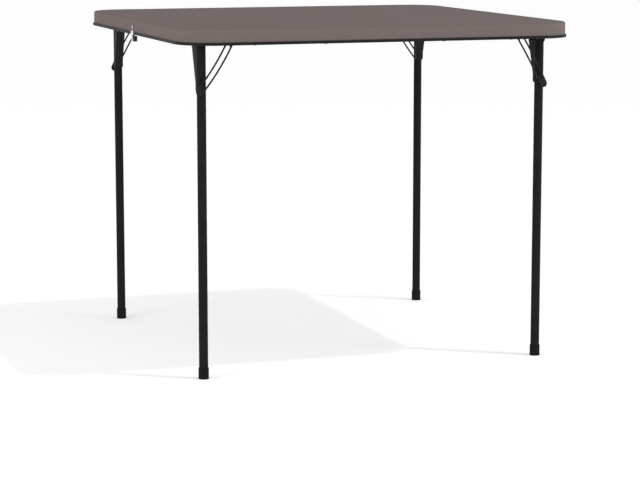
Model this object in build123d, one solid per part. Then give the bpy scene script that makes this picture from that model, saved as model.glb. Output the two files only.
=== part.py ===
from build123d import *

import math
import os

# Folding card table with a moulded square top, a steel edge rail and four folding legs.
# Millimetres. X runs along the front edge, Y to the back, Z up.
# The origin is on the floor under the centre of the top.

# Overall sizes
table_width = 864.0
table_height = 726.6
rim_corner_radius = 80.0

# Clearances
running_fit = 0.05
seat_gap = 0.1
side_gap = 0.3
overrun = 2.0

# Moulded top
rim_overhang = 2.8
apron_height = 32.6
panel_thickness = 4.0
skirt_thickness = 3.2
top_edge_radius = 4.0
rib_thickness = 2.6
rib_depth = 10.4
rib_cells = 3
boss_radius = 5.5
boss_weld = 1.0
pilot_gap = 1.0

# Edge rail
rail_sheet = 1.5
hem_height = 6.0
hem_radius = 1.1
rail_flange_width = 24.0
rail_upstand_height = 14.0
edge_screw_shares = (0.3, 0.65)

# Screws
screw_radius = 1.7
screw_head_radius = 3.3
screw_head_height = 1.6
screw_head_edge = 0.6
screw_length = 10.0

# Legs
leg_side_inset = 56.7
leg_front_inset = 76.5
tube_radius = 9.5
tube_wall = 1.2
tube_top_rise = 5.1
swing_gap = 0.8
fold_gap = 1.2

# Feet
foot_wall = 1.3
foot_height = 23.5
foot_sole = 4.0
foot_flare = 0.4
foot_flare_height = 1.5
foot_taper_height = 3.2
foot_rim_radius = 0.8

# Leg gussets
gusset_sheet = 1.5
gusset_foot_drop = 98.0
gusset_heel_height = 18.0
gusset_slope = 0.34
gusset_bend_drop = 3.0
gusset_corner_radius = 6.0
gusset_side_inset = 0.2
hinge_ear_radius = 8.0
hinge_pin_radius = 3.0
pin_head_radius = 5.0
pin_head_height = 1.0

# Hinge brackets
bracket_sheet = 1.5
bracket_pad_depth = 9.1
bracket_plate_width = 18.8
bracket_screw_inset = 14.0
bracket_rib_gap = 4.2

# Leg braces
brace_sheet = 2.0
brace_width = 15.6
slot_width = 9.2
brace_gap = 0.5
brace_pivot_radius = 2.6
pivot_head_radius = 4.4
pivot_head_height = 1.2
stud_radius = 3.9
stud_neck_radius = 2.4
stud_tail_radius = 3.3
stud_tail_height = 1.0
stud_stop_gap = 0.3

# Brace places: pivots inboard of the hinge and above it, studs inboard of the leg and above the gusset's foot
upper_pair_pivot = (64.2, 0.0)
upper_pair_stud = (0.5, 10.5)
lower_pair_pivot = (53.7, 10.0)
lower_pair_stud = (1.9, 12.0)

# Brace shapes: bow, start of the slot after the pivot and length of the tip past the stud
upper_pair_brace = (3.9, 27.0, 12.5)
lower_pair_brace = (1.4, 12.0, 15.3)

# Side rails that carry the braces
side_rail_overlap = 2.7
side_rail_width = 27.0
side_rail_height = 26.5
side_rail_screw_shares = (0.32, 0.94)
rail_boss_radius = 6.5

# Side latch
latch_place = -8.0
latch_sheet = 1.2
latch_width = 22.0
latch_pad_height = 7.5
latch_stem_width = 7.0
latch_stem_height = 20.5
latch_tab_width = 9.0
latch_rivet_radius = 1.5
latch_rivet_head_radius = 3.0
latch_rivet_head_height = 0.9
latch_rivet_height = 16.0
lever_place = -8.0
lever_drop = 9.0
lever_length = 14.0
lever_height = 12.0
lever_thickness = 7.0
lever_corner_radius = 4.5
lever_edge_radius = 0.8
lever_pin_radius = 2.0
lever_pin_head_radius = 3.6
lever_pin_head_height = 0.8

# Places that follow from the sizes above
half_width = table_width / 2
half_apron = half_width - rim_overhang
apron_corner_radius = rim_corner_radius - rim_overhang
half_pocket = half_apron - skirt_thickness
pocket_corner_radius = apron_corner_radius - skirt_thickness
rim_floor = table_height - apron_height
skirt_floor = rim_floor + rail_sheet
panel_floor = table_height - panel_thickness
rib_floor = panel_floor - rib_depth
leg_x = half_width - leg_side_inset
leg_y = half_width - leg_front_inset
foot_radius = tube_radius + seat_gap + foot_wall
foot_flare_radius = foot_radius + foot_flare
tube_top_swing = math.hypot(tube_radius, tube_top_rise)
upper_hinge_height = panel_floor - swing_gap - tube_top_swing
lower_hinge_height = upper_hinge_height - tube_radius - fold_gap - foot_flare_radius
gusset_foot_height = rim_floor - gusset_foot_drop
gusset_heel_top = gusset_foot_height + gusset_heel_height
gusset_heel_reach = tube_radius + seat_gap + gusset_sheet
bracket_plate_top = panel_floor - bracket_pad_depth
bracket_plate_floor = bracket_plate_top - bracket_sheet
bracket_plate_start = tube_top_swing + swing_gap
bracket_plate_end = bracket_plate_start + bracket_plate_width
bracket_outer = leg_y + tube_radius + side_gap + bracket_sheet
hinge_pin_end = bracket_outer + seat_gap + pin_head_height
brace_start = hinge_pin_end + brace_gap
brace_end = brace_start + brace_sheet
side_rail_start = brace_end + side_gap
side_rail_end = side_rail_start + rail_sheet
side_rail_half_length = leg_x + side_rail_overlap
side_rail_floor = rim_floor - rail_sheet
side_rail_screw_line = side_rail_end + side_rail_width / 2
edge_boss_line = half_pocket - boss_radius + boss_weld


def rounded_plate(half_side, corner_radius, bottom, top):
    """Square plate with rounded corners between two heights."""
    outline = RectangleRounded(2 * half_side, 2 * half_side, corner_radius)
    return Pos(0, 0, bottom) * extrude(outline, top - bottom)


def box_between(low, high):
    """Block from its lowest corner to its highest corner."""
    size = [high[i] - low[i] for i in range(3)]
    centre = [(high[i] + low[i]) / 2 for i in range(3)]
    return Pos(*centre) * Box(*size)


def rod_up(x, y, bottom, top, radius):
    """Upright round rod between two heights."""
    return Pos(x, y, (bottom + top) / 2) * Cylinder(radius, top - bottom)


def rod_across(x, z, start, end, radius):
    """Round rod along Y between two places."""
    return Pos(x, (start + end) / 2, z) * Rot(90, 0, 0) * Cylinder(radius, abs(end - start))


def rod_along(y, z, start, end, radius):
    """Round rod along X between two places."""
    return Pos((start + end) / 2, y, z) * Rot(0, 90, 0) * Cylinder(radius, abs(end - start))


def front_face(sketch, start, end):
    """Sketch drawn in X and Z, given its thickness from one Y place to another."""
    upright = Plane(origin=(0, start, 0), x_dir=(1, 0, 0), z_dir=(0, -1, 0))
    return extrude(upright * sketch, start - end)


def side_face(sketch, start, end):
    """Sketch drawn in Y and Z, given its thickness from one X place to another."""
    upright = Plane(origin=(start, 0, 0), x_dir=(0, 1, 0), z_dir=(1, 0, 0))
    return extrude(upright * sketch, end - start)


def turned(shape):
    """The same shape at the opposite corner of the table."""
    return Rot(0, 0, 180) * shape


class FrontCorner:
    """Sizes of one front corner: which side it is on, its hinge, gusset, stud and brace."""

    def __init__(self, side, hinge_height, pivot, stud, brace):
        self.side = side
        self.x = side * leg_x
        self.hinge_height = hinge_height
        self.pivot = (self.x - side * pivot[0], hinge_height + pivot[1])
        self.stud = (self.x - side * stud[0], gusset_foot_height + stud[1])
        self.bow, self.slot_start, self.tip = brace
        self.bend_height = hinge_height - gusset_bend_drop
        self.gusset_reach = gusset_heel_reach + gusset_slope * (self.bend_height - gusset_heel_top)
        self.bracket_inner = leg_y - self.gusset_reach - side_gap - bracket_sheet


left_corner = FrontCorner(-1, upper_hinge_height, upper_pair_pivot, upper_pair_stud, upper_pair_brace)
right_corner = FrontCorner(1, lower_hinge_height, lower_pair_pivot, lower_pair_stud, lower_pair_brace)
outer_rib_offset = left_corner.bracket_inner - bracket_rib_gap - rib_thickness / 2
rib_pitch = outer_rib_offset / rib_cells


def bracket_screw_places(corner):
    """Screw centres of one hinge bracket, in X and Y."""
    x = corner.x + corner.side * (bracket_plate_start + bracket_plate_end) / 2
    return [(x, -corner.bracket_inner - bracket_screw_inset), (x, -bracket_outer + bracket_screw_inset)]


def side_rail_screw_places():
    """Screw centres of the front side rail, in X and Y."""
    places = []
    for share in side_rail_screw_shares:
        for side in (-1, 1):
            places.append((side * share * side_rail_half_length, -side_rail_screw_line))
    return places


def edge_screw_places():
    """Screw centres round the edge rail, in X and Y."""
    places = []
    for share in edge_screw_shares:
        offset = share * half_width
        for side in (-1, 1):
            for along in (-offset, offset):
                places.append((along, side * edge_boss_line))
                places.append((side * edge_boss_line, along))
    return places


def both_ends(places):
    """Places at a front corner and at the corner opposite."""
    return places + [(-x, -y) for x, y in places]


def make_top():
    """Moulded top: flat panel, skirt, ribs, bracket pads and screw bosses in one piece."""
    shell = rounded_plate(half_apron, apron_corner_radius, skirt_floor, table_height)
    shell = fillet(shell.faces().sort_by(Axis.Z)[-1].edges(), top_edge_radius)
    shell -= rounded_plate(half_pocket, pocket_corner_radius, skirt_floor - overrun, panel_floor)
    inside = []
    rib_ends = half_pocket + skirt_thickness / 2
    for y in [step * rib_pitch for step in range(-rib_cells, rib_cells + 1)]:
        low = (-rib_ends, y - rib_thickness / 2, rib_floor)
        inside.append(box_between(low, (rib_ends, y + rib_thickness / 2, panel_floor + boss_weld)))
    column_count = int(half_pocket / rib_pitch)
    for x in [step * rib_pitch for step in range(-column_count, column_count + 1)]:
        low = (x - rib_thickness / 2, -outer_rib_offset, rib_floor)
        inside.append(box_between(low, (x + rib_thickness / 2, outer_rib_offset, panel_floor + boss_weld)))
    for corner in (left_corner, right_corner):
        near = corner.x + corner.side * bracket_plate_start
        far = corner.x + corner.side * bracket_plate_end
        low = (min(near, far), -bracket_outer, bracket_plate_top)
        pad = box_between(low, (max(near, far), -corner.bracket_inner, panel_floor + boss_weld))
        inside += [pad, turned(pad)]
    for x, y in both_ends(side_rail_screw_places()):
        floor = side_rail_floor + rail_sheet
        inside.append(rod_up(x, y, floor, panel_floor + boss_weld, rail_boss_radius))
    for x, y in edge_screw_places():
        inside.append(rod_up(x, y, skirt_floor, panel_floor + boss_weld, boss_radius))
    top = shell + inside
    pilots = []
    bore = screw_radius + running_fit
    screw_reach = screw_length + pilot_gap
    for corner in (left_corner, right_corner):
        for x, y in both_ends(bracket_screw_places(corner)):
            pilots.append(rod_up(x, y, bracket_plate_floor, bracket_plate_floor + screw_reach, bore))
    for x, y in both_ends(side_rail_screw_places()):
        pilots.append(rod_up(x, y, side_rail_floor, side_rail_floor + screw_reach, bore))
    for x, y in edge_screw_places():
        pilots.append(rod_up(x, y, rim_floor, rim_floor + screw_reach, bore))
    rivet_height = rim_floor + latch_rivet_height
    bore = latch_rivet_radius + running_fit
    pilots.append(rod_along(latch_place, rivet_height, -half_width, -half_pocket + overrun, bore))
    return top - pilots


def make_edge_rail():
    """Pressed steel rail under the skirt: flange, rolled hem outside and upstand inside."""
    hem_inner = half_apron + seat_gap
    hem = rounded_plate(half_width, rim_corner_radius, rim_floor, rim_floor + hem_height)
    outline = hem.faces().sort_by(Axis.Z)
    hem = fillet(outline[-1].edges() + outline[0].edges(), hem_radius)
    hem -= rounded_plate(hem_inner, apron_corner_radius + seat_gap, skirt_floor, table_height)
    inner_half = half_width - rail_flange_width
    inner_radius = rim_corner_radius - rail_flange_width
    upstand = rounded_plate(
        inner_half + rail_sheet, inner_radius + rail_sheet, rim_floor, rim_floor + rail_upstand_height
    )
    rail = hem + upstand
    rail -= rounded_plate(inner_half, inner_radius, rim_floor - overrun, table_height)
    notch_side = latch_width / 2 + side_gap
    notch_floor = rim_floor - overrun
    rail -= box_between(
        (-half_width - overrun, latch_place - notch_side, notch_floor),
        (-half_width + latch_sheet + seat_gap, latch_place + notch_side, table_height),
    )
    bore = screw_radius + running_fit
    holes = [rod_up(x, y, rim_floor - overrun, skirt_floor + overrun, bore) for x, y in edge_screw_places()]
    return rail - holes


def make_side_rail():
    """Steel angle under the front of the top that carries the pivots of both front braces."""
    rail = box_between(
        (-side_rail_half_length, -side_rail_end, side_rail_floor),
        (side_rail_half_length, -side_rail_start, side_rail_floor + side_rail_height),
    )
    rail += box_between(
        (-side_rail_half_length, -side_rail_start - side_rail_width, side_rail_floor),
        (side_rail_half_length, -side_rail_start, side_rail_floor + rail_sheet),
    )
    bore = brace_pivot_radius + running_fit
    for corner in (left_corner, right_corner):
        x, z = corner.pivot
        rail -= rod_across(x, z, -side_rail_end - overrun, -side_rail_start + overrun, bore)
    for x, y in side_rail_screw_places():
        rail -= rod_up(x, y, side_rail_floor - overrun, side_rail_floor + overrun, screw_radius + running_fit)
    return rail


def make_hinge_bracket(corner):
    """Pressed bracket: a plate screwed up to its pad and two ears that hold the hinge pin."""
    middle = corner.x + corner.side * (bracket_plate_start + bracket_plate_end) / 2
    inner = -corner.bracket_inner
    outer = -bracket_outer
    plate = box_between(
        (middle - bracket_plate_width / 2, outer, bracket_plate_floor),
        (middle + bracket_plate_width / 2, inner, bracket_plate_top),
    )
    edge_height = bracket_plate_floor + bracket_sheet / 2
    edge = Pos(middle, edge_height) * Rectangle(bracket_plate_width, bracket_sheet)
    shoulder = Pos(corner.x, upper_hinge_height) * Circle(hinge_ear_radius)
    outline = make_hull(edge.edges() + shoulder.edges())
    if corner.hinge_height < upper_hinge_height:
        knuckle = Pos(corner.x, corner.hinge_height) * Circle(hinge_ear_radius)
        outline += make_hull(shoulder.edges() + knuckle.edges())
    above = Rectangle(bracket_plate_width, hinge_ear_radius)
    outline -= Pos(middle, bracket_plate_top + hinge_ear_radius / 2) * above
    ears = front_face(outline, inner, inner - bracket_sheet)
    ears += front_face(outline, outer + bracket_sheet, outer)
    bracket = plate + ears
    bore = hinge_pin_radius + running_fit
    bracket -= rod_across(corner.x, corner.hinge_height, outer - overrun, inner + overrun, bore)
    hole = screw_radius + running_fit
    for x, y in bracket_screw_places(corner):
        bracket -= rod_up(x, y, bracket_plate_floor - overrun, bracket_plate_top + overrun, hole)
    return bracket


def make_hinge_pin(corner):
    """Hinge pin with a head at each end, held in the bracket's ears."""
    x = corner.x
    z = corner.hinge_height
    inner = -corner.bracket_inner + seat_gap + pin_head_height
    outer = -hinge_pin_end
    pin = rod_across(x, z, inner, outer, hinge_pin_radius)
    pin += rod_across(x, z, inner, inner - pin_head_height, pin_head_radius)
    pin += rod_across(x, z, outer + pin_head_height, outer, pin_head_radius)
    return pin


def make_leg_tube(corner):
    """Round steel leg tube with the holes for its hinge pin and stud."""
    top = corner.hinge_height + tube_top_rise
    tube = rod_up(corner.x, -leg_y, foot_sole, top, tube_radius)
    tube -= rod_up(corner.x, -leg_y, foot_sole - overrun, top + overrun, tube_radius - tube_wall)
    outer = -leg_y - tube_radius - overrun
    inner = -leg_y + tube_radius + overrun
    tube -= rod_across(corner.x, corner.hinge_height, outer, inner, hinge_pin_radius + running_fit)
    x, z = corner.stud
    return tube - rod_across(x, z, outer, inner, stud_neck_radius + running_fit)


def reach_face(points):
    """Closed outline of a gusset's side, its points given as reach inward of the leg axis and height."""
    return make_face(Polyline(*[(reach - leg_y, height) for reach, height in points], close=True))


def make_gusset(corner):
    """Pressed wedge gusset: two side walls behind the tube and a back that reaches up to the hinge pin."""
    half_width = tube_radius - gusset_side_inset
    top = corner.hinge_height + hinge_ear_radius
    back = [
        (gusset_heel_reach, gusset_foot_height),
        (gusset_heel_reach, gusset_heel_top),
        (corner.gusset_reach, corner.bend_height),
        (corner.gusset_reach, top),
    ]
    face = [(reach - gusset_sheet, height) for reach, height in reversed(back)]
    gusset = side_face(reach_face(back + face), corner.x - half_width, corner.x + half_width)
    wall_outline = reach_face([(0, gusset_foot_height)] + back[:3] + [(0, corner.bend_height)])
    for side in (-1, 1):
        outer = corner.x + side * half_width
        gusset += side_face(wall_outline, outer - side * gusset_sheet, outer)
    heel = Vector(gusset_heel_reach - leg_y, gusset_foot_height)
    shape = reach_face([(0, gusset_foot_height)] + back + [(0, top)])
    corners = shape.vertices().sort_by(lambda v: (Vector(v.X, v.Y) - heel).length)
    shape = fillet(corners[0], gusset_corner_radius)
    gusset &= side_face(shape, corner.x - tube_radius, corner.x + tube_radius)
    body_height = corner.bend_height - gusset_foot_height
    outline = Pos(corner.x, gusset_foot_height + body_height / 2) * Rectangle(2 * half_width, body_height)
    neck = gusset_bend_drop + overrun
    outline += Pos(corner.x, corner.hinge_height - neck / 2) * Rectangle(2 * hinge_ear_radius, neck)
    outline += Pos(corner.x, corner.hinge_height) * Circle(hinge_ear_radius)
    gusset &= front_face(outline, -corner.bracket_inner, -bracket_outer)
    gusset -= rod_up(corner.x, -leg_y, gusset_foot_height - overrun, top, tube_radius + seat_gap)
    inner = -corner.bracket_inner
    gusset -= rod_across(corner.x, corner.hinge_height, -leg_y, inner, hinge_pin_radius + running_fit)
    x, z = corner.stud
    return gusset - rod_across(x, z, -leg_y, inner, stud_neck_radius + running_fit)


def make_foot(corner):
    """Moulded foot cap: a cup over the end of the tube, flared where it meets the floor."""
    bore = tube_radius + seat_gap
    profile = make_face(
        Polyline(
            (0, 0),
            (foot_flare_radius, 0),
            (foot_flare_radius, foot_flare_height),
            (foot_radius, foot_taper_height),
            (foot_radius, foot_height - foot_rim_radius),
            (foot_radius - foot_rim_radius, foot_height),
            (bore, foot_height),
            (bore, foot_sole),
            (0, foot_sole),
            close=True,
        )
    )
    return Pos(corner.x, -leg_y, 0) * revolve(Plane.XZ * profile, Axis.Z)


def brace_span(corner):
    """Brace length from pivot to stud and the radius of its bow."""
    span = math.hypot(corner.stud[0] - corner.pivot[0], corner.stud[1] - corner.pivot[1])
    return span, span**2 / (8 * corner.bow) + corner.bow / 2


def brace_band(corner, start, end, width):
    """Curved band of even width with round ends, between two distances along the brace."""
    span, bow_radius = brace_span(corner)
    half_turn = math.degrees(math.asin(span / 2 / bow_radius))
    first = -90 - half_turn + math.degrees(start / bow_radius)
    turn = math.degrees((end - start) / bow_radius)
    arc = CenterArc((span / 2, bow_radius - corner.bow), bow_radius, first, turn)
    return SlotArc(arc, width)


def make_brace(corner):
    """Flat bowed brace: a long slot for the stud and a solid rounded finger tip."""
    span, bow_radius = brace_span(corner)
    run = 2 * bow_radius * math.asin(span / 2 / bow_radius)
    outline = brace_band(corner, 0, run + corner.tip, brace_width)
    outline -= brace_band(corner, corner.slot_start, run, slot_width)
    outline -= Circle(brace_pivot_radius + running_fit)
    along = Vector(corner.stud[0] - corner.pivot[0], 0, corner.stud[1] - corner.pivot[1])
    frame = Plane(origin=(corner.pivot[0], -brace_end, corner.pivot[1]), x_dir=along, z_dir=(0, 1, 0))
    return extrude(frame * outline, brace_sheet)


def make_brace_pivot(corner):
    """Rivet that the brace turns on, fixed in the side rail."""
    x, z = corner.pivot
    inner = -brace_start + seat_gap + pivot_head_height
    outer = -side_rail_end - pivot_head_height
    pivot = rod_across(x, z, inner, outer, brace_pivot_radius)
    pivot += rod_across(x, z, inner, inner - pivot_head_height, pivot_head_radius)
    pivot += rod_across(x, z, -side_rail_end, outer, pivot_head_radius)
    return pivot


def make_slide_stud(corner):
    """Shouldered stud that runs in the brace's slot, riveted through the leg and the gusset's heel."""
    x, z = corner.stud
    seat = -leg_y - tube_radius - seat_gap
    tail = -leg_y + gusset_heel_reach + seat_gap
    stud = rod_across(x, z, seat, -brace_start + stud_stop_gap, stud_radius)
    stud += rod_across(x, z, tail, seat, stud_neck_radius)
    return stud + rod_across(x, z, tail, tail + stud_tail_height, stud_tail_radius)


def make_screw(x, y, seat):
    """Pan head screw driven upwards, its head under the seat."""
    head = rod_up(x, y, seat - screw_head_height, seat, screw_head_radius)
    head = fillet(head.faces().sort_by(Axis.Z)[0].edges(), screw_head_edge)
    return head + rod_up(x, y, seat - screw_head_height / 2, seat + screw_length, screw_radius)


def make_screws(places, seat):
    """Group of like screws at one height."""
    return Compound(children=[make_screw(x, y, seat) for x, y in places])


def make_latch_plate():
    """Bright latch plate: pad in the hem's notch, stem riveted to the skirt and tab for the lever."""
    outer = -half_width
    stem_outer = -half_apron - seat_gap - latch_sheet
    pad_top = rim_floor + latch_pad_height
    stem_top = rim_floor + latch_stem_height
    tab_floor = rim_floor - lever_drop - latch_tab_width / 2
    step = latch_sheet
    profile = Polyline(
        (outer, tab_floor),
        (outer, pad_top),
        (stem_outer, pad_top + step),
        (stem_outer, stem_top),
        (stem_outer + latch_sheet, stem_top),
        (stem_outer + latch_sheet, pad_top),
        (outer + latch_sheet, pad_top - step),
        (outer + latch_sheet, tab_floor),
        close=True,
    )
    strip = front_face(make_face(profile), half_width, -half_width)
    outline = Pos(latch_place, rim_floor + latch_pad_height / 2) * RectangleRounded(
        latch_width, latch_pad_height, latch_sheet
    )
    outline += Pos(latch_place, (rim_floor + stem_top) / 2) * SlotOverall(
        latch_stem_height, latch_stem_width, rotation=90
    )
    tab_height = rim_floor - tab_floor + latch_pad_height / 2
    outline += Pos(lever_place, tab_floor + tab_height / 2) * RectangleRounded(
        latch_tab_width, tab_height, latch_tab_width / 2 - latch_sheet
    )
    plate = strip & side_face(outline, -half_width - overrun, -half_pocket)
    rivet_bore = latch_rivet_radius + running_fit
    plate -= rod_along(latch_place, rim_floor + latch_rivet_height, outer, -half_pocket, rivet_bore)
    pin_bore = lever_pin_radius + running_fit
    return plate - rod_along(lever_place, rim_floor - lever_drop, outer - overrun, -half_pocket, pin_bore)


def make_latch_rivet():
    """Domed rivet that holds the latch plate's stem to the skirt."""
    height = rim_floor + latch_rivet_height
    seat = -half_apron - seat_gap - latch_sheet
    rivet = rod_along(latch_place, height, seat, -half_pocket, latch_rivet_radius)
    head = rod_along(latch_place, height, seat - latch_rivet_head_height, seat, latch_rivet_head_radius)
    head = fillet(head.faces().sort_by(Axis.X)[0].edges(), latch_rivet_head_height / 2)
    tail_end = -half_pocket + latch_rivet_head_height
    return rivet + head + rod_along(latch_place, height, -half_pocket, tail_end, latch_rivet_head_radius)


def lever_sides():
    """Inner and outer X places of the latch lever."""
    outer = -half_width + latch_sheet + side_gap
    return outer, outer + lever_thickness


def make_latch_lever():
    """Moulded lever: a round end on its pin and a finger end with a rounded lower corner."""
    outer, inner = lever_sides()
    z = rim_floor - lever_drop
    end = lever_place - lever_length
    body = Pos((lever_place + end) / 2, z) * Rectangle(lever_length, lever_height)
    low_corner = body.vertices().sort_by(lambda v: v.X + v.Y)[0]
    body = fillet(low_corner, lever_corner_radius)
    body += Pos(lever_place, z) * Circle(lever_height / 2)
    lever = side_face(body, outer, inner)
    rims = lever.faces().sort_by(Axis.X)
    lever = fillet(rims[0].edges() + rims[-1].edges(), lever_edge_radius)
    return lever - rod_along(lever_place, z, outer - overrun, inner + overrun, lever_pin_radius + running_fit)


def make_lever_pin():
    """Pin that the latch lever turns on, with a flush outer head."""
    inner = lever_sides()[1] + seat_gap
    z = rim_floor - lever_drop
    pin = rod_along(lever_place, z, -half_width, inner, lever_pin_radius)
    return pin + rod_along(lever_place, z, inner, inner + lever_pin_head_height, lever_pin_head_radius)


def write(name, shape):
    """Save one piece."""
    export_step(shape, os.path.join("parts", name + ".step"))


os.makedirs("parts", exist_ok=True)

write("table_top", make_top())
write("edge_rail", make_edge_rail())

front_rail = make_side_rail()
write("front_side_rail", front_rail)
write("back_side_rail", turned(front_rail))

corner_pieces = {
    "hinge_bracket": make_hinge_bracket,
    "hinge_pin": make_hinge_pin,
    "leg_tube": make_leg_tube,
    "leg_gusset": make_gusset,
    "foot_cap": make_foot,
    "brace": make_brace,
    "brace_pivot": make_brace_pivot,
    "slide_stud": make_slide_stud,
}
for piece, make in corner_pieces.items():
    left_piece = make(left_corner)
    right_piece = make(right_corner)
    write("front_left_" + piece, left_piece)
    write("back_right_" + piece, turned(left_piece))
    write("front_right_" + piece, right_piece)
    write("back_left_" + piece, turned(right_piece))

bracket_screws = bracket_screw_places(left_corner) + bracket_screw_places(right_corner)
write("hinge_bracket_screws", make_screws(both_ends(bracket_screws), bracket_plate_floor))
write("side_rail_screws", make_screws(both_ends(side_rail_screw_places()), side_rail_floor))
write("edge_rail_screws", make_screws(edge_screw_places(), rim_floor))

write("latch_plate", make_latch_plate())
write("latch_rivet", make_latch_rivet())
write("latch_lever", make_latch_lever())
write("latch_lever_pin", make_lever_pin())
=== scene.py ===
import math

import bpy
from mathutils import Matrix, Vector


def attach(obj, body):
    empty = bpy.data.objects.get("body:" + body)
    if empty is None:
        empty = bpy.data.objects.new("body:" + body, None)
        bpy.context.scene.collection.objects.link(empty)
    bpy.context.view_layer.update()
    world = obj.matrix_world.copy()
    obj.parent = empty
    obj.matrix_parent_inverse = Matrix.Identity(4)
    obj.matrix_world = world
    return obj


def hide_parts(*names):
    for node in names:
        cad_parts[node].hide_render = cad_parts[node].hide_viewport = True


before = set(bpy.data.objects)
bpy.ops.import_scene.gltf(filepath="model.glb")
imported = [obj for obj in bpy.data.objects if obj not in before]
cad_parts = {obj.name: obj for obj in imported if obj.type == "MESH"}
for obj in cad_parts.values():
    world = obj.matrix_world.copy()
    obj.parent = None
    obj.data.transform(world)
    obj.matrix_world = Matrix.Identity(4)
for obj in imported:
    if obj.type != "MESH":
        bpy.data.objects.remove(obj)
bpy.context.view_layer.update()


# Camera at the photograph's place: low and to the front left of the table, with a long lens.
# Its place, tilt and lens come from a fit to the edges of the top, rail, legs and feet.
camera_place = (-1.6043, -4.6955, 0.9871)
camera_pitch = math.radians(81.05)
camera_turn = math.radians(-18.88)
camera_lens = 124.65
camera_sensor_width = 36

camera_data = bpy.data.cameras.new("photo_camera")
camera_data.sensor_width = camera_sensor_width
camera_data.lens = camera_lens
camera = bpy.data.objects.new("photo_camera", camera_data)
camera.location = camera_place
camera.rotation_euler = (camera_pitch, 0, camera_turn)
bpy.context.scene.collection.objects.link(camera)
bpy.context.scene.camera = camera


# White studio sweep: a plain floor that goes white where it is lit and keeps the table's shadow.
# To the table it is plain pale card. Seen directly or in a reflection it also glows a little.
# From below it is clear, so that the underside of the table can be looked at.
floor_size = 60.0
floor_card_color = (0.86, 0.86, 0.86, 1)
floor_glow = 0.32


def add_node(tree, kind, values=None, **settings):
    """New node with its settings and the values of its unlinked inputs."""
    node = tree.nodes.new(kind)
    for name, setting in settings.items():
        setattr(node, name, setting)
    for socket, value in (values or {}).items():
        node.inputs[socket].default_value = value
    return node


def seen_by_viewer(tree):
    """Output that is 1 for what the camera, a reflection or a clear body sees, and else 0."""
    light_path = add_node(tree, "ShaderNodeLightPath")
    seen = light_path.outputs["Is Camera Ray"]
    for ray in ("Is Glossy Ray", "Is Transmission Ray"):
        either = add_node(tree, "ShaderNodeMath", operation="MAXIMUM")
        tree.links.new(seen, either.inputs[0])
        tree.links.new(light_path.outputs[ray], either.inputs[1])
        seen = either.outputs[0]
    return seen


bpy.ops.mesh.primitive_plane_add(size=floor_size, location=(0, 0, 0))
floor = bpy.context.object
floor.name = "studio_floor"
floor_paper = bpy.data.materials.new("studio_paper")
floor_paper.use_nodes = True
tree = floor_paper.node_tree
tree.nodes.clear()
card = add_node(tree, "ShaderNodeBsdfDiffuse", {"Color": floor_card_color})
glow_strength = add_node(tree, "ShaderNodeMath", {1: floor_glow}, operation="MULTIPLY")
glow = add_node(tree, "ShaderNodeEmission")
glowing_card = add_node(tree, "ShaderNodeAddShader")
side_seen = add_node(tree, "ShaderNodeNewGeometry")
clear = add_node(tree, "ShaderNodeBsdfTransparent")
clear_below = add_node(tree, "ShaderNodeMixShader")
output = add_node(tree, "ShaderNodeOutputMaterial")
tree.links.new(seen_by_viewer(tree), glow_strength.inputs[0])
tree.links.new(glow_strength.outputs[0], glow.inputs["Strength"])
tree.links.new(card.outputs[0], glowing_card.inputs[0])
tree.links.new(glow.outputs[0], glowing_card.inputs[1])
tree.links.new(side_seen.outputs["Backfacing"], clear_below.inputs[0])
tree.links.new(glowing_card.outputs[0], clear_below.inputs[1])
tree.links.new(clear.outputs[0], clear_below.inputs[2])
tree.links.new(clear_below.outputs[0], output.inputs["Surface"])
floor.data.materials.append(floor_paper)


# Studio light: a pale surround, a small high lamp that draws the table's shadow, a large soft box
# from the front right for the sheen on the tubes, and a fill from the left for the skirt.
# The surround is white where it is seen. As a light it is dimmer overhead.
white_color = (1, 1, 1, 1)
level_strength = 1.02
overhead_strength = 0.45

world = bpy.data.worlds.new("studio_surround")
bpy.context.scene.world = world
world.use_nodes = True
tree = world.node_tree
tree.nodes.clear()
direction = add_node(tree, "ShaderNodeTexCoord")
rise = add_node(tree, "ShaderNodeSeparateXYZ")
falling_off = add_node(
    tree, "ShaderNodeMapRange", {"To Min": level_strength, "To Max": overhead_strength}
)
dim = add_node(tree, "ShaderNodeBackground", {"Color": white_color})
white = add_node(tree, "ShaderNodeBackground", {"Color": white_color, "Strength": 1.0})
dim_or_white = add_node(tree, "ShaderNodeMixShader")
output = add_node(tree, "ShaderNodeOutputWorld")
tree.links.new(direction.outputs["Generated"], rise.inputs["Vector"])
tree.links.new(rise.outputs["Z"], falling_off.inputs["Value"])
tree.links.new(falling_off.outputs["Result"], dim.inputs["Strength"])
tree.links.new(seen_by_viewer(tree), dim_or_white.inputs[0])
tree.links.new(dim.outputs[0], dim_or_white.inputs[1])
tree.links.new(white.outputs[0], dim_or_white.inputs[2])
tree.links.new(dim_or_white.outputs[0], output.inputs["Surface"])


def soft_box(name, place, target, width, height, watts):
    """Rectangular studio lamp aimed at a point."""
    data = bpy.data.lights.new(name, "AREA")
    data.shape = "RECTANGLE"
    data.size = width
    data.size_y = height
    data.energy = watts
    lamp = bpy.data.objects.new(name, data)
    lamp.location = place
    lamp.rotation_euler = (Vector(target) - Vector(place)).to_track_quat("-Z", "Y").to_euler()
    bpy.context.scene.collection.objects.link(lamp)


soft_box("key_light", place=(2.9, -2.3, 1.2), target=(0, 0, 0.45), width=0.9, height=2.2, watts=50)
soft_box("fill_light", place=(-3.9, -1.7, 1.1), target=(0, 0, 0.6), width=2.0, height=1.6, watts=56)

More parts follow.
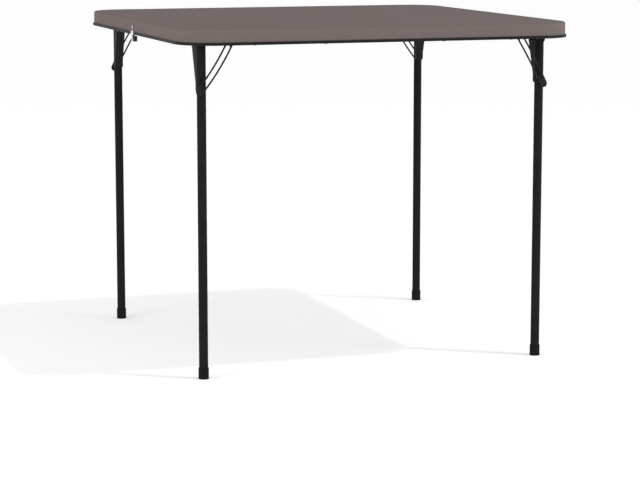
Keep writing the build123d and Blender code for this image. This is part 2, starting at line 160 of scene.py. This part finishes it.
# The high lamp's direction comes from the shadows of the top's two right corners.
high_lamp_direction = Vector((0.376, -0.253, 0.892))
high_lamp_strength = 0.46
high_lamp_spread = math.radians(1.5)
high_lamp_data = bpy.data.lights.new("high_lamp", "SUN")
high_lamp_data.energy = high_lamp_strength
high_lamp_data.angle = high_lamp_spread
high_lamp = bpy.data.objects.new("high_lamp", high_lamp_data)
high_lamp.rotation_euler = high_lamp_direction.to_track_quat("Z", "Y").to_euler()
bpy.context.scene.collection.objects.link(high_lamp)
bpy.context.scene.view_settings.view_transform = "Standard"


# Moulded top: one square shell with a deep skirt, moulded in taupe resin with a fine matte grain.
# The mould leaves a faint mottle, and handling leaves the resin a little smoother in places.
grain_detail = 3.0
patch_detail = 5.0
patch_roughness = 0.6
patch_low, patch_high = 0.35, 0.65

mottle = bpy.data.node_groups.new("surface_mottle", "ShaderNodeTree")
for label in ("Grain Scale", "Patch Scale", "Rough Low", "Rough High"):
    mottle.interface.new_socket(name=label, in_out="INPUT", socket_type="NodeSocketFloat")
for label in ("Grain", "Patch", "Roughness"):
    mottle.interface.new_socket(name=label, in_out="OUTPUT", socket_type="NodeSocketFloat")
start = add_node(mottle, "NodeGroupInput")
end = add_node(mottle, "NodeGroupOutput")
where = add_node(mottle, "ShaderNodeTexCoord")
grain = add_node(mottle, "ShaderNodeTexNoise", {"Detail": grain_detail})
patch = add_node(
    mottle, "ShaderNodeTexNoise", {"Detail": patch_detail, "Roughness": patch_roughness}
)
spread = add_node(
    mottle, "ShaderNodeMapRange", {"From Min": patch_low, "From Max": patch_high}
)
mottle.links.new(where.outputs["Object"], grain.inputs["Vector"])
mottle.links.new(where.outputs["Object"], patch.inputs["Vector"])
mottle.links.new(start.outputs["Grain Scale"], grain.inputs["Scale"])
mottle.links.new(start.outputs["Patch Scale"], patch.inputs["Scale"])
mottle.links.new(patch.outputs["Fac"], spread.inputs["Value"])
mottle.links.new(start.outputs["Rough Low"], spread.inputs["To Min"])
mottle.links.new(start.outputs["Rough High"], spread.inputs["To Max"])
mottle.links.new(grain.outputs["Fac"], end.inputs["Grain"])
mottle.links.new(patch.outputs["Fac"], end.inputs["Patch"])
mottle.links.new(spread.outputs["Result"], end.inputs["Roughness"])


def mottled(name, dark, light, grain_scale, patch_scale, rough, bump_depth, specular, metallic=0.0):
    """Material with a fine bump, a soft patchy colour and an uneven sheen."""
    material = bpy.data.materials.new(name)
    material.use_nodes = True
    tree = material.node_tree
    shader = tree.nodes["Principled BSDF"]
    shader.inputs["Specular IOR Level"].default_value = specular
    shader.inputs["Metallic"].default_value = metallic
    effect_values = {
        "Grain Scale": grain_scale,
        "Patch Scale": patch_scale,
        "Rough Low": rough[0],
        "Rough High": rough[1],
    }
    effect = add_node(tree, "ShaderNodeGroup", effect_values, node_tree=mottle)
    color = add_node(tree, "ShaderNodeMix", {"A": (*dark, 1), "B": (*light, 1)}, data_type="RGBA")
    bump = add_node(tree, "ShaderNodeBump", {"Strength": 1.0, "Distance": bump_depth})
    tree.links.new(effect.outputs["Patch"], color.inputs["Factor"])
    tree.links.new(color.outputs["Result"], shader.inputs["Base Color"])
    tree.links.new(effect.outputs["Roughness"], shader.inputs["Roughness"])
    tree.links.new(effect.outputs["Grain"], bump.inputs["Height"])
    tree.links.new(bump.outputs["Normal"], shader.inputs["Normal"])
    return material


def finish_nodes(names, material):
    """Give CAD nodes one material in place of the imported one."""
    for name in names:
        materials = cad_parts[name].data.materials
        materials.clear()
        materials.append(material)


taupe_resin = mottled(
    "taupe_resin",
    dark=(0.156, 0.125, 0.119),
    light=(0.171, 0.137, 0.130),
    grain_scale=1400.0,
    patch_scale=5.0,
    rough=(0.68, 0.8),
    bump_depth=0.00004,
    specular=0.03,
)
finish_nodes(["table_top"], taupe_resin)


# Leg tubes, hinge pins and brackets: rolled and pressed mild steel under a black powder coat.
# The coat has a low sheen and a fine orange peel, and it is a shade greyer where it is thin.
corners = ("front_left", "front_right", "back_right", "back_left")


def at_each_corner(pieces):
    """Names of pieces that every corner of the table has."""
    return [f"{corner}_{piece}" for corner in corners for piece in pieces]


tube_coat = mottled(
    "black_powder_coat",
    dark=(0.011, 0.011, 0.011),
    light=(0.018, 0.018, 0.018),
    grain_scale=2200.0,
    patch_scale=30.0,
    rough=(0.5, 0.62),
    bump_depth=0.00002,
    specular=0.025,
)
finish_nodes(at_each_corner(["leg_tube", "hinge_pin", "hinge_bracket"]), tube_coat)


# Gussets and braces: stampings from flat strip. Their coat is painted a little greyer than the tubes' as
# painted sheen, for the sheen their flat faces catch from the key light.
# The pivots and studs that join them are headed steel rivets, coated with them.
# Dark and light here are lighter than the tube coat's: painted sheen, not a different paint.
sheen_painted_strip_coat = mottled(
    "black_strip_coat_painted_sheen",
    dark=(0.015, 0.015, 0.015),
    light=(0.025, 0.025, 0.025),
    grain_scale=2600.0,
    patch_scale=45.0,
    rough=(0.45, 0.58),
    bump_depth=0.00002,
    specular=0.03,
)
finish_nodes(at_each_corner(["leg_gusset", "brace", "brace_pivot", "slide_stud"]), sheen_painted_strip_coat)


# Edge rail and side rails: roll-formed steel strip under a smoother black coat.
# The edge rail's hem, bent to the top's corners, shows under the skirt as a thin dark lip.
rail_coat = mottled(
    "black_rail_coat",
    dark=(0.010, 0.010, 0.010),
    light=(0.017, 0.017, 0.017),
    grain_scale=2000.0,
    patch_scale=25.0,
    rough=(0.42, 0.52),
    bump_depth=0.00002,
    specular=0.06,
)
finish_nodes(["edge_rail", "front_side_rail", "back_side_rail"], rail_coat)


# Foot caps: black moulded rubber cups pushed over the ends of the tubes, soft at every edge.
# Each is drawn up from a disc, ring by ring: a flared sole, the wall, a round rim and the bore.
foot_x, foot_y = 0.3753, 0.3555
foot_places = {
    "front_left": (-foot_x, -foot_y),
    "front_right": (foot_x, -foot_y),
    "back_right": (foot_x, foot_y),
    "back_left": (-foot_x, foot_y),
}
foot_sides = 56
foot_sole_radius = 0.0107
foot_smooth_angle = math.radians(40)
# Radius and height of each ring
foot_sole_rings = ((0.01115, 0.0003), (0.0113, 0.0008), (0.0113, 0.0016), (0.01115, 0.0024))
foot_wall_rings = ((0.0109, 0.0033), (0.0109, 0.0224))
foot_rim_rings = (
    (0.0108, 0.0230),
    (0.0105, 0.0234),
    (0.0101, 0.0235),
    (0.0097, 0.0234),
    (0.0096, 0.0230),
)
foot_bore_rings = ((0.0096, 0.0040),)

foot_rubber = mottled(
    "foot_rubber",
    dark=(0.009, 0.009, 0.009),
    light=(0.015, 0.015, 0.015),
    grain_scale=1800.0,
    patch_scale=40.0,
    rough=(0.6, 0.7),
    bump_depth=0.00003,
    specular=0.025,
)
for corner, (x, y) in foot_places.items():
    bpy.ops.object.select_all(action="DESELECT")
    bpy.ops.mesh.primitive_circle_add(
        vertices=foot_sides,
        radius=foot_sole_radius,
        fill_type="NGON",
        location=(x, y, 0),
        enter_editmode=True,
    )
    bpy.ops.mesh.select_all(action="SELECT")
    radius, height = foot_sole_radius, 0
    for next_radius, next_height in foot_sole_rings + foot_wall_rings + foot_rim_rings + foot_bore_rings:
        growth = next_radius / radius
        bpy.ops.mesh.extrude_region_move(TRANSFORM_OT_translate={"value": (0, 0, next_height - height)})
        bpy.ops.transform.resize(value=(growth, growth, 1), center_override=(x, y, next_height))
        radius, height = next_radius, next_height
    bpy.ops.mesh.select_all(action="SELECT")
    bpy.ops.mesh.normals_make_consistent(inside=False)
    bpy.ops.object.mode_set(mode="OBJECT")
    bpy.ops.object.transform_apply(location=True, rotation=True, scale=True)
    bpy.ops.object.shade_smooth_by_angle(angle=foot_smooth_angle)
    foot = bpy.context.object
    foot.name = f"{corner}_rubber_foot"
    foot.data.materials.append(foot_rubber)
    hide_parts(f"{corner}_foot_cap")
    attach(foot, f"{corner}_leg")


# Latch: a pressed steel clip, painted like the skirt on its stem and bare plate where it laps the lip.
# A black moulded lever turns under it on a plated pin, and a plated rivet holds the stem.
paint_edge_height = 0.7030
paint_edge_fade = 0.0012
stem_paint_color = (0.11, 0.092, 0.088, 1)

bright_plate = mottled(
    "bright_plate",
    dark=(0.62, 0.62, 0.61),
    light=(0.78, 0.78, 0.77),
    grain_scale=1500.0,
    patch_scale=60.0,
    rough=(0.18, 0.3),
    bump_depth=0.00001,
    specular=0.5,
    metallic=1.0,
)
finish_nodes(["latch_rivet", "latch_lever_pin"], bright_plate)

painted_clip = bright_plate.copy()
painted_clip.name = "painted_clip"
tree = painted_clip.node_tree
shader = tree.nodes["Principled BSDF"]
plate_color = shader.inputs["Base Color"].links[0].from_socket
where = add_node(tree, "ShaderNodeTexCoord")
split = add_node(tree, "ShaderNodeSeparateXYZ")
painted = add_node(
    tree,
    "ShaderNodeMapRange",
    {"From Min": paint_edge_height - paint_edge_fade, "From Max": paint_edge_height},
)
bare = add_node(tree, "ShaderNodeMath", {0: 1}, operation="SUBTRACT")
color = add_node(tree, "ShaderNodeMix", {"B": stem_paint_color}, data_type="RGBA")
tree.links.new(where.outputs["Object"], split.inputs["Vector"])
tree.links.new(split.outputs["Z"], painted.inputs["Value"])
tree.links.new(painted.outputs["Result"], color.inputs["Factor"])
tree.links.new(plate_color, color.inputs["A"])
tree.links.new(color.outputs["Result"], shader.inputs["Base Color"])
tree.links.new(painted.outputs["Result"], bare.inputs[1])
tree.links.new(bare.outputs[0], shader.inputs["Metallic"])
finish_nodes(["latch_plate"], painted_clip)

lever_plastic = mottled(
    "lever_plastic",
    dark=(0.006, 0.006, 0.006),
    light=(0.012, 0.012, 0.012),
    grain_scale=1600.0,
    patch_scale=50.0,
    rough=(0.4, 0.52),
    bump_depth=0.00002,
    specular=0.2,
)
finish_nodes(["latch_lever"], lever_plastic)


# Screws: zinc plated pan heads with a cross recess, cold headed and driven up into moulded bosses.
# Each is a rounded head, cut by two crossed blades, on a plain shank, and each stopped at its own turn.
head_radius = 0.0033
head_height = 0.0016
head_edge = 0.0005
head_edge_steps = 3
head_sides = 28
shank_radius = 0.0017
shank_length = 0.010
shank_sides = 16
recess_length = 0.0034
recess_width = 0.0007
recess_depth = 0.0011
screw_smooth_angle = math.radians(35)
turn_step = math.radians(67)

zinc_plate = mottled(
    "zinc_plate",
    dark=(0.42, 0.42, 0.43),
    light=(0.55, 0.55, 0.56),
    grain_scale=1500.0,
    patch_scale=80.0,
    rough=(0.3, 0.42),
    bump_depth=0.00001,
    specular=0.5,
    metallic=1.0,
)


def cross_screw(x, y, seat, turn):
    """Pan head screw under its seat, with a cross recess in the head."""
    bpy.ops.object.select_all(action="DESELECT")
    bpy.ops.mesh.primitive_cylinder_add(
        vertices=head_sides, radius=head_radius, depth=head_height, location=(x, y, seat - head_height / 2)
    )
    head = bpy.context.object
    soften = head.modifiers.new("soften", "BEVEL")
    soften.width = head_edge
    soften.segments = head_edge_steps
    blades = []
    for quarter in (0, math.pi / 2):
        bpy.ops.mesh.primitive_cube_add(
            size=1, location=(x, y, seat - head_height), rotation=(0, 0, turn + quarter)
        )
        blade = bpy.context.object
        blade.scale = (recess_length, recess_width, 2 * recess_depth)
        cut = head.modifiers.new("recess", "BOOLEAN")
        cut.operation = "DIFFERENCE"
        cut.object = blade
        blades.append(blade)
    bpy.context.view_layer.objects.active = head
    for modifier in list(head.modifiers):
        bpy.ops.object.modifier_apply(modifier=modifier.name)
    for blade in blades:
        bpy.data.objects.remove(blade, do_unlink=True)
    shank_reach = shank_length + head_height / 2
    shank_middle = seat + shank_length / 2 - head_height / 4
    bpy.ops.mesh.primitive_cylinder_add(
        vertices=shank_sides, radius=shank_radius, depth=shank_reach, location=(x, y, shank_middle)
    )
    head.select_set(True)
    bpy.context.view_layer.objects.active = head
    bpy.ops.object.join()
    return head


def screw_group(name, places, seat):
    """All screws of one kind joined into one piece with its own finish."""
    screws = [cross_screw(x, y, seat, turn_step * number) for number, (x, y) in enumerate(places)]
    bpy.ops.object.select_all(action="DESELECT")
    for screw in screws:
        screw.select_set(True)
    bpy.context.view_layer.objects.active = screws[0]
    bpy.ops.object.join()
    bpy.ops.object.transform_apply(location=True, rotation=True, scale=True)
    bpy.ops.object.shade_smooth_by_angle(angle=screw_smooth_angle)
    group = bpy.context.object
    group.name = f"cross_{name}"
    group.data.materials.append(zinc_plate)
    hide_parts(name)
    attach(group, "root")


both_ways = (-1, 1)

bracket_seat = 0.712
bracket_screw_x = 0.39628
bracket_outer_y = 0.3528
left_bracket_inner_y = 0.32463
right_bracket_inner_y = 0.33211
bracket_screws = [
    (-bracket_screw_x, -left_bracket_inner_y),
    (-bracket_screw_x, -bracket_outer_y),
    (bracket_screw_x, -right_bracket_inner_y),
    (bracket_screw_x, -bracket_outer_y),
]
bracket_screws += [(-x, -y) for x, y in bracket_screws]
screw_group("hinge_bracket_screws", bracket_screws, bracket_seat)

side_rail_seat = 0.6925
side_rail_screw_x = (0.12096, 0.35532)
side_rail_screw_y = 0.3857
side_rail_screws = [
    (side * x, end * side_rail_screw_y) for x in side_rail_screw_x for side in both_ways for end in both_ways
]
screw_group("side_rail_screws", side_rail_screws, side_rail_seat)

edge_rail_seat = 0.694
edge_screw_along = (0.1296, 0.2808)
edge_screw_out = 0.4215
edge_screws = []
for along in edge_screw_along:
    for side in both_ways:
        for end in both_ways:
            edge_screws.append((side * along, end * edge_screw_out))
            edge_screws.append((end * edge_screw_out, side * along))
screw_group("edge_rail_screws", edge_screws, edge_rail_seat)
